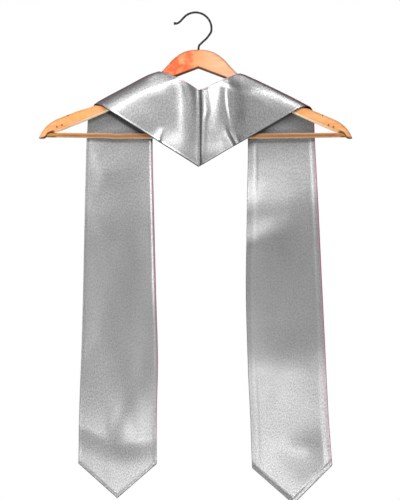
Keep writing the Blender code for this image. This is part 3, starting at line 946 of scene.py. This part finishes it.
def add_edge_colours(item, name, lines, distances, z):
    """A mesh attribute that is 1 on the lines and 0 elsewhere, with soft sides and ends."""
    outer_face = np.zeros(z.shape)
    inner_face = np.zeros(z.shape)
    for line in lines:
        distance = distances[(line.stretch, line.edge)]
        inside = smooth_step((line.width - distance) / line.soft + 0.5)
        if line.inner > 0.0:
            inside = inside * smooth_step((distance - line.inner) / line.soft + 0.5)
        ends = smooth_step((line.top_z - z) / EDGE_LINE_END)
        ends = ends * smooth_step((z - line.end_z) / EDGE_LINE_END)
        marked = line.strength * inside * ends
        inner_face = np.maximum(inner_face, marked)
        if line.edge not in SHADED_EDGES:
            outer_face = np.maximum(outer_face, marked)
    add_point_values(item, name, shell_values(outer_face, inner_face))


def new_material(name):
    material = bpy.data.materials.new(name)
    material.use_nodes = True
    nodes = material.node_tree.nodes
    return material, nodes, material.node_tree.links, nodes["Principled BSDF"]


def satin_material():
    material, nodes, links, shader = new_material("silver_satin")
    shader.inputs["Metallic"].default_value = 0.92
    shader.inputs["Roughness"].default_value = 0.37
    shader.inputs["Anisotropic"].default_value = 0.2
    shader.inputs["Sheen Weight"].default_value = 0.08
    shader.inputs["Sheen Roughness"].default_value = 0.4
    cloth = nodes.new("ShaderNodeUVMap")
    cloth.uv_map = "cloth"
    tangent = nodes.new("ShaderNodeTangent")
    tangent.direction_type = "UV_MAP"
    tangent.uv_map = "cloth"
    links.new(tangent.outputs["Tangent"], shader.inputs["Tangent"])
    place = cloth.outputs["UV"]
    glint = add_noise(nodes, links, place, GLINT_STRETCH, GLINT_SIZE, GLINT_DETAIL)
    tone = add_noise(nodes, links, place, TONE_STRETCH, TONE_SIZE, TONE_DETAIL)
    speckled = add_glints(nodes, links, place, glint)
    shaded = add_range(nodes, links, tone, NOISE_RANGE, (1.0 - SLOW_TONE, 1.0 + SLOW_TONE))
    both = nodes.new("ShaderNodeMath")
    both.operation = "MULTIPLY"
    links.new(speckled, both.inputs[0])
    links.new(shaded, both.inputs[1])
    ground = nodes.new("ShaderNodeVectorMath")
    ground.operation = "SCALE"
    ground.inputs[0].default_value = SATIN_COLOUR
    links.new(both.outputs["Value"], ground.inputs["Scale"])
    rosy = add_attribute_mix(nodes, links, "rose", ground.outputs["Vector"], ROSE_COLOUR)
    # Painted shade: the dark lines and painted shadows held by the mesh attribute
    final = add_attribute_mix(nodes, links, "painted_shade", rosy, PAINTED_SHADE_COLOUR)
    links.new(final, shader.inputs["Base Color"])
    weave = nodes.new("ShaderNodeTexWave")
    weave.inputs["Scale"].default_value = WEAVE_SCALE
    weave.inputs["Distortion"].default_value = WEAVE_DISTORTION
    weave.inputs["Detail Scale"].default_value = WEAVE_DETAIL_SCALE
    links.new(place, weave.inputs["Vector"])
    fine = add_bump(nodes, links, weave.outputs["Fac"], WEAVE_STRENGTH, WEAVE_DEPTH, None)
    rough = add_bump(nodes, links, glint, GLINT_STRENGTH, GLINT_DEPTH, fine)
    links.new(rough, shader.inputs["Normal"])
    return material


def add_glints(nodes, links, place, glint):
    """Brightness of the speckle, which is fainter half way down the strip."""
    split = nodes.new("ShaderNodeSeparateXYZ")
    links.new(place, split.inputs["Vector"])
    stops = [(at, (amount, amount, amount)) for at, amount in GLINT_STOPS]
    share = add_ramp(nodes, links, split.outputs["Y"], stops)
    centred = add_range(nodes, links, glint, NOISE_RANGE, (-GLINT_TONE, GLINT_TONE))
    spread = nodes.new("ShaderNodeMath")
    spread.operation = "MULTIPLY_ADD"
    spread.inputs[2].default_value = 1.0
    links.new(centred, spread.inputs[0])
    links.new(share, spread.inputs[1])
    return spread.outputs["Value"]


def add_ramp(nodes, links, value, stops):
    """Colours that run through the stops as the value goes from 0 to 1."""
    ramp = nodes.new("ShaderNodeValToRGB")
    for number, (at, colour) in enumerate(stops):
        if number < 2:
            stop = ramp.color_ramp.elements[number]
        else:
            stop = ramp.color_ramp.elements.new(at)
        stop.position = at
        stop.color = (*colour, 1.0)
    links.new(value, ramp.inputs["Fac"])
    return ramp.outputs["Color"]


def add_noise(nodes, links, place, scale, size, detail):
    """A soft random pattern with features of one size, drawn out by the scale."""
    stretch = nodes.new("ShaderNodeMapping")
    stretch.inputs["Scale"].default_value = scale
    links.new(place, stretch.inputs["Vector"])
    pattern = nodes.new("ShaderNodeTexNoise")
    pattern.inputs["Scale"].default_value = 1.0 / size
    pattern.inputs["Detail"].default_value = detail
    links.new(stretch.outputs["Vector"], pattern.inputs["Vector"])
    return pattern.outputs["Fac"]


def add_range(nodes, links, value, source, target):
    spread = nodes.new("ShaderNodeMapRange")
    spread.inputs["From Min"].default_value = source[0]
    spread.inputs["From Max"].default_value = source[1]
    spread.inputs["To Min"].default_value = target[0]
    spread.inputs["To Max"].default_value = target[1]
    links.new(value, spread.inputs["Value"])
    return spread.outputs["Result"]


def add_mix(nodes, links, share, ground, colour, way):
    blend = nodes.new("ShaderNodeMix")
    blend.data_type = "RGBA"
    blend.blend_type = way
    blend.inputs["B"].default_value = (*colour, 1.0)
    links.new(share, blend.inputs["Factor"])
    links.new(ground, blend.inputs["A"])
    return blend.outputs["Result"]


def add_attribute_mix(nodes, links, name, ground, colour):
    """Blend a colour over the ground where the mesh's own attribute asks for it."""
    marked = nodes.new("ShaderNodeAttribute")
    marked.attribute_name = name
    return add_mix(nodes, links, marked.outputs["Fac"], ground, colour, "MIX")


def add_bump(nodes, links, height, strength, distance, before):
    bump = nodes.new("ShaderNodeBump")
    bump.inputs["Strength"].default_value = strength
    bump.inputs["Distance"].default_value = distance
    links.new(height, bump.inputs["Height"])
    if before is not None:
        links.new(before, bump.inputs["Normal"])
    return bump.outputs["Normal"]


def wood_material(name, stops, mottle):
    """Varnished wood whose colour runs outward through the stops, with painted light and shade."""
    material, nodes, links, shader = new_material(name)
    place = nodes.new("ShaderNodeTexCoord")
    split = nodes.new("ShaderNodeSeparateXYZ")
    where = place.outputs["Object"]
    links.new(where, split.inputs["Vector"])
    outward = nodes.new("ShaderNodeMath")
    outward.operation = "ABSOLUTE"
    links.new(split.outputs["X"], outward.inputs[0])
    share = add_range(nodes, links, outward.outputs["Value"], (0.0, WOOD_REACH), (0.0, 1.0))
    base = add_ramp(nodes, links, share, stops)
    blotch = add_noise(nodes, links, where, EVEN, BLOTCH_SIZE, BLOTCH_DETAIL)
    blotched = add_range(nodes, links, blotch, BLOTCH_RANGE, (0.0, mottle))
    lighter = add_mix(nodes, links, blotched, base, WOOD_BLOTCH, "MIX")
    grain = add_noise(nodes, links, where, GRAIN_STRETCH, GRAIN_SIZE, GRAIN_DETAIL)
    grained = add_range(nodes, links, grain, GRAIN_RANGE, (0.0, WOOD_GRAIN_SHARE))
    shade = add_mix(nodes, links, grained, lighter, WOOD_GRAIN, "MULTIPLY")
    # Painted light on the lower edges and along the bar
    painted_light = add_attribute_mix(nodes, links, "painted_light", shade, WOOD_PAINTED_LIGHT)
    # Painted shade under the crown and at the bar's seat, with the darker lines and tops
    painted_shade_and_darkening = add_attribute_mix(nodes, links, "painted_shade_and_darkening", painted_light, WOOD_PAINTED_SHADE_AND_DARKENING)
    links.new(painted_shade_and_darkening, shader.inputs["Base Color"])
    relief = add_bump(nodes, links, grain, GRAIN_STRENGTH, GRAIN_DEPTH, None)
    links.new(relief, shader.inputs["Normal"])
    shader.inputs["Roughness"].default_value = 0.5
    shader.inputs["Specular IOR Level"].default_value = 0.3
    shader.inputs["Coat Weight"].default_value = 0.06
    shader.inputs["Coat Roughness"].default_value = 0.25
    return material


def metal_material(name, look):
    """Dark metal with uneven lacquer."""
    material, nodes, links, shader = new_material(name)
    place = nodes.new("ShaderNodeTexCoord")
    wear = add_noise(nodes, links, place.outputs["Object"], EVEN, LACQUER_SIZE, LACQUER_DETAIL)
    blend = nodes.new("ShaderNodeMix")
    blend.data_type = "RGBA"
    blend.inputs["A"].default_value = (*look.colour, 1.0)
    blend.inputs["B"].default_value = (*look.spot, 1.0)
    spotted = add_range(nodes, links, wear, LACQUER_RANGE, (0.0, 1.0))
    links.new(spotted, blend.inputs["Factor"])
    links.new(blend.outputs["Result"], shader.inputs["Base Color"])
    rougher = (look.roughness, look.roughness + LACQUER_ROUGHER)
    links.new(add_range(nodes, links, wear, NOISE_RANGE, rougher), shader.inputs["Roughness"])
    shader.inputs["Metallic"].default_value = 0.85
    return material


def add_point_values(item, name, values):
    layer = item.data.attributes.new(name=name, type="FLOAT", domain="POINT")
    layer.data.foreach_set("value", np.asarray(values, np.float32).reshape(-1))


def join_rings(rings):
    """Vertices and faces of a closed shape through rings of points."""
    count = len(rings[0])
    vertices = [point for ring in rings for point in ring]
    faces = []
    for row in range(len(rings) - 1):
        for i in range(count):
            a = row * count + i
            b = row * count + (i + 1) % count
            faces.append((a, b, b + count, a + count))
    faces.append(tuple(reversed(range(count))))
    last = (len(rings) - 1) * count
    faces.append(tuple(range(last, last + count)))
    return vertices, faces


def arm_x(side, x):
    """Signed X of a place on an arm, with that arm's own length."""
    past = max(x - ARM_STRETCH_FROM, 0.0) / (ARM_ROWS[-1].x - ARM_STRETCH_FROM)
    return SIDES[side] * (x + ARM_END_SHIFT[side] * past)


def arm_raise(side, x):
    """How much higher than its table one arm's top stands towards its end."""
    share = max(x - ARM_RAISE_FROM, 0.0) / (ARM_ROWS[-1].x - ARM_RAISE_FROM)
    rise = float(smooth_step(ARM_RAISE_STEEPNESS * share))
    return ARM_RAISE[side] * rise * (1.0 - share**ARM_RAISE_END_POWER)


def arm_ring(side, x):
    """One section of an arm: a round top, upright sides and chamfered lower edges."""
    top = float(table_value(ARM_ROWS, 1, x)) + arm_raise(side, x)
    under = float(table_value(ARM_ROWS, 2, x))
    slope = float(table_value(ARM_ROWS, 1, x + 1.0) - table_value(ARM_ROWS, 1, x - 1.0)) / 2
    height = top - under
    tip = max(x - ARM_TIP_ROUND_FROM, 0.0) / ARM_TIP_ROUND_LENGTH
    half = ARM_HALF_THICKNESS * math.sqrt(1.0 - tip**2)
    rise = min(half * math.hypot(1.0, slope), 0.5 * height)
    chamfer = min(ARM_CHAMFER, ARM_CHAMFER_MOST_SHARE * height, 0.5 * half)
    place = SIDES[side] * ARM_JOINT_HALF_GAP if x == 0.0 else arm_x(side, x)
    lines = [under + chamfer, under + chamfer + ARM_LINE_RISE, under + chamfer + ARM_LINE_FADE]
    arc_foot = top - rise
    lines = [min(z, arc_foot) for z in lines]
    ring = [(chamfer - half, under)] + [(-half, z) for z in lines]
    for step in range(ARM_ARC_STEPS + 1):
        angle = math.pi * step / ARM_ARC_STEPS
        ring.append((-half * math.cos(angle), arc_foot + rise * math.sin(angle)))
    ring += [(half, z) for z in reversed(lines)] + [(half - chamfer, under)]
    return [(place * MM, y * MM, z * MM) for y, z in ring]


def arm_edge_shades(x):
    """How much painted light and painted shade each point of one arm section takes."""
    outside = float(smooth_step((x - CROWN_END_X) / CROWN_FADE))
    seat = float(smooth_step((x - BAR_SEAT_X) / BAR_SEAT_FADE))
    past = max(x - PAINTED_LIGHT_FADE_FROM, 0.0)
    # Painted light along the arms' lower chamfer, fading towards the ends
    pale = EDGE_PAINTED_LIGHT * outside * (1.0 - seat) * (1.0 - PAINTED_LIGHT_FADE_SHARE * past / PAINTED_LIGHT_FADE_LENGTH)
    # Painted shade under the crown and where the bar sits in the arm
    painted_shade = CROWN_PAINTED_SHADE * (1.0 - outside) + SEAT_PAINTED_SHADOW * seat
    # A darker line just above the chamfer on the arms
    line = LINE_DARKENING * outside * (1.0 - seat)
    painted_light = [pale, pale, 0.0, 0.0]
    painted_shade_and_darkening = [painted_shade, EDGE_PAINTED_SHADE_SHARE * painted_shade, max(line, LINE_PAINTED_SHADE_SHARE * painted_shade), 0.0]
    # The top of each section is darker, most on the crown
    for step in range(ARM_ARC_STEPS + 1):
        height = math.sin(math.pi * step / ARM_ARC_STEPS)
        painted_light.append(0.0)
        painted_shade_and_darkening.append((TOP_DARKENING - TOP_DARKENING_FALL * outside) * height**TOP_DARKENING_POWER)
    return painted_light + painted_light[3::-1], painted_shade_and_darkening + painted_shade_and_darkening[3::-1]


def make_arm(side, material):
    reach = ARM_ROWS[-1].x
    places = list(np.arange(0.0, ARM_TIP_ROUND_FROM, ARM_STEP))
    places += list(np.arange(ARM_TIP_ROUND_FROM, reach, 0.5 * ARM_STEP)) + [reach]
    rings = [arm_ring(side, float(x)) for x in places]
    shades = [arm_edge_shades(float(x)) for x in places]
    vertices, faces = join_rings(rings)
    if SIDES[side] < 0:
        faces = [tuple(reversed(face)) for face in faces]
    item = mesh_object("arm_" + side + "_wood", vertices, faces, material)
    item.data.set_sharp_from_angle(angle=math.radians(ARM_SMOOTH_DEGREES))
    # Painted light, painted shade and darker lines for the wood's material
    add_point_values(item, "painted_light", [shade[0] for shade in shades])
    add_point_values(item, "painted_shade_and_darkening", [shade[1] for shade in shades])
    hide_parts("arm_" + side)
    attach(item, "root")


def tube(route, radii, sides):
    """Vertices and faces of a round bar along a route in the plane Y = 0."""
    rings = []
    for i, (point, radius) in enumerate(zip(route, radii)):
        before = route[max(i - 1, 0)]
        after = route[min(i + 1, len(route) - 1)]
        along = (after - before).normalized()
        side = Vector((0.0, 1.0, 0.0))
        up = along.cross(side)
        rings.append([])
        for step in range(sides):
            angle = 2.0 * math.pi * step / sides
            offset = side * math.cos(angle) + up * math.sin(angle)
            rings[-1].append((point + offset * radius) * MM)
    return join_rings(rings)


def make_bar(material):
    start = arm_x("left", BAR_END_X)
    end = arm_x("right", BAR_END_X)
    route = []
    for x in np.linspace(start, end, int((end - start) / BAR_STEP)):
        share = (x - start) / (end - start)
        z = BAR_END_Z - BAR_SAG * 4.0 * share * (1.0 - share)
        z -= BAR_KINK_DROP * math.exp(-(((x - BAR_KINK_X) / BAR_KINK_WIDTH) ** 2))
        route.append(Vector((x, 0.0, z)))
    vertices, faces = tube(route, [BAR_RADIUS] * len(route), BAR_SIDES)
    item = mesh_object("bar_wood", vertices, faces, material)
    # Painted highlights along the bar's top and bottom, and painted shade under its ends in the
    # seats
    painted_light = []
    painted_shade_and_darkening = []
    for point in route:
        seat = float(smooth_step((abs(point.x) - BAR_SEAT_X) / BAR_SEAT_FADE))
        for step in range(BAR_SIDES):
            up = -math.sin(2.0 * math.pi * step / BAR_SIDES)
            painted_light.append(BAR_PAINTED_HIGHLIGHT * abs(up) ** BAR_PAINTED_HIGHLIGHT_POWER * (1.0 - seat))
            painted_shade_and_darkening.append(seat * max(up, 0.0) ** BAR_PAINTED_SHADE_POWER)
    add_point_values(item, "painted_light", painted_light)
    add_point_values(item, "painted_shade_and_darkening", painted_shade_and_darkening)
    item.data.set_sharp_from_angle(angle=math.radians(ROUND_SMOOTH_DEGREES))
    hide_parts("bar")
    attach(item, "root")


def make_hook(material):
    points = list(HOOK_TIP)
    for step in range(HOOK_ARC_STEPS + 1):
        angle = math.radians(mix(HOOK_ARC_FROM, HOOK_ARC_TO, step / HOOK_ARC_STEPS))
        x = HOOK_CENTRE_X + HOOK_RADIUS * math.cos(angle)
        z = HOOK_CENTRE_Z + HOOK_RADIUS * math.sin(angle)
        points.append((x, z))
    points += HOOK_BEND + [(0.0, STEM_TOP_Z)]
    rows = [(0.0, *points[0])]
    for first, second in zip(points, points[1:]):
        rows.append((rows[-1][0] + math.dist(first, second), *second))
    places = np.arange(0.0, rows[-1][0], HOOK_STEP)
    xs = table_value(rows, 1, places)
    zs = table_value(rows, 2, places)
    route = [Vector((float(x), 0.0, float(z))) for x, z in zip(xs, zs)]
    route += [Vector((0.0, 0.0, z)) for z in (STEM_TOP_Z, STEM_END_Z)]
    radii = []
    for place in list(places) + [rows[-1][0], rows[-1][0]]:
        bulb = 1.0 - smooth_step(place / WIRE_TIP_LENGTH)
        radii.append(WIRE_RADIUS * (1.0 + WIRE_TIP_SPREAD * float(bulb)))
    vertices, faces = tube(route, radii, HOOK_SIDES)
    item = mesh_object("hook_wire", vertices, faces, material)
    item.data.set_sharp_from_angle(angle=math.radians(ROUND_SMOOTH_DEGREES))
    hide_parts("hook")
    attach(item, "root")


def paint_nails(material):
    for name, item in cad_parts.items():
        if name.startswith("nail_"):
            item.data.materials.clear()
            item.data.materials.append(material)


def make_world():
    """White to the camera, and a soft grey for what the cloth reflects."""
    world = bpy.data.worlds.new("studio")
    bpy.context.scene.world = world
    world.use_nodes = True
    nodes = world.node_tree.nodes
    links = world.node_tree.links
    path = nodes.new("ShaderNodeLightPath")
    blend = nodes.new("ShaderNodeMix")
    blend.data_type = "RGBA"
    blend.inputs["A"].default_value = (*SURROUND_GREY, 1.0)
    blend.inputs["B"].default_value = (1.0, 1.0, 1.0, 1.0)
    links.new(path.outputs["Is Camera Ray"], blend.inputs["Factor"])
    links.new(blend.outputs["Result"], nodes["Background"].inputs["Color"])
    bpy.context.scene.view_settings.view_transform = "Standard"


def make_light(lamp):
    data = bpy.data.lights.new(lamp.name, "AREA")
    data.shape = "RECTANGLE"
    data.size = lamp.width
    data.size_y = lamp.height
    data.energy = lamp.power
    item = new_object(lamp.name, data)
    item.location = lamp.place
    way = Vector(lamp.aim) - Vector(lamp.place)
    item.rotation_euler = way.to_track_quat("-Z", "Y").to_euler()


def make_stage():
    """A plain pale floor under the hanging stole, and soft studio lights."""
    material, _, _, shader = new_material("pale_floor")
    shader.inputs["Base Color"].default_value = (*FLOOR_GREY, 1.0)
    shader.inputs["Roughness"].default_value = 0.9
    square = ((-1, -1), (1, -1), (1, 1), (-1, 1))
    corners = [(x * FLOOR_HALF_SIZE, y * FLOOR_HALF_SIZE, FLOOR_Z) for x, y in square]
    floor = mesh_object("floor", corners, [(0, 1, 2, 3)], material)
    for lamp in LAMPS:
        make_light(lamp)


def make_camera():
    """Level, square on to the hanger, framed as the photograph."""
    data = bpy.data.cameras.new("camera")
    data.lens = LENS
    data.sensor_width = SENSOR
    camera = new_object("camera", data)
    view_height = IMAGE_HEIGHT * MM_A_PIXEL * MM
    distance = LENS / SENSOR * view_height
    x = (IMAGE_WIDTH / 2 - SEAM_PIXEL_X) * MM_A_PIXEL * MM
    z = (ORIGIN_PIXEL_Y - IMAGE_HEIGHT / 2) * MM_A_PIXEL * MM
    camera.location = (x, -distance, z)
    camera.rotation_euler = (math.radians(90.0), 0.0, 0.0)
    bpy.context.scene.camera = camera


def main():
    make_camera()
    make_world()
    make_stage()
    satin = satin_material()
    for side in SIDES:
        make_stole_half(side, satin)
    for side in SIDES:
        make_arm(side, wood_material("wood_" + side, CROWN_STOPS[side], MOTTLE[side]))
    make_bar(wood_material("wood_bar", BAR_STOPS, MOTTLE["bar"]))
    make_hook(metal_material("black_wire", BLACK_WIRE))
    paint_nails(metal_material("nail_brown", NAIL_BROWN))


main()
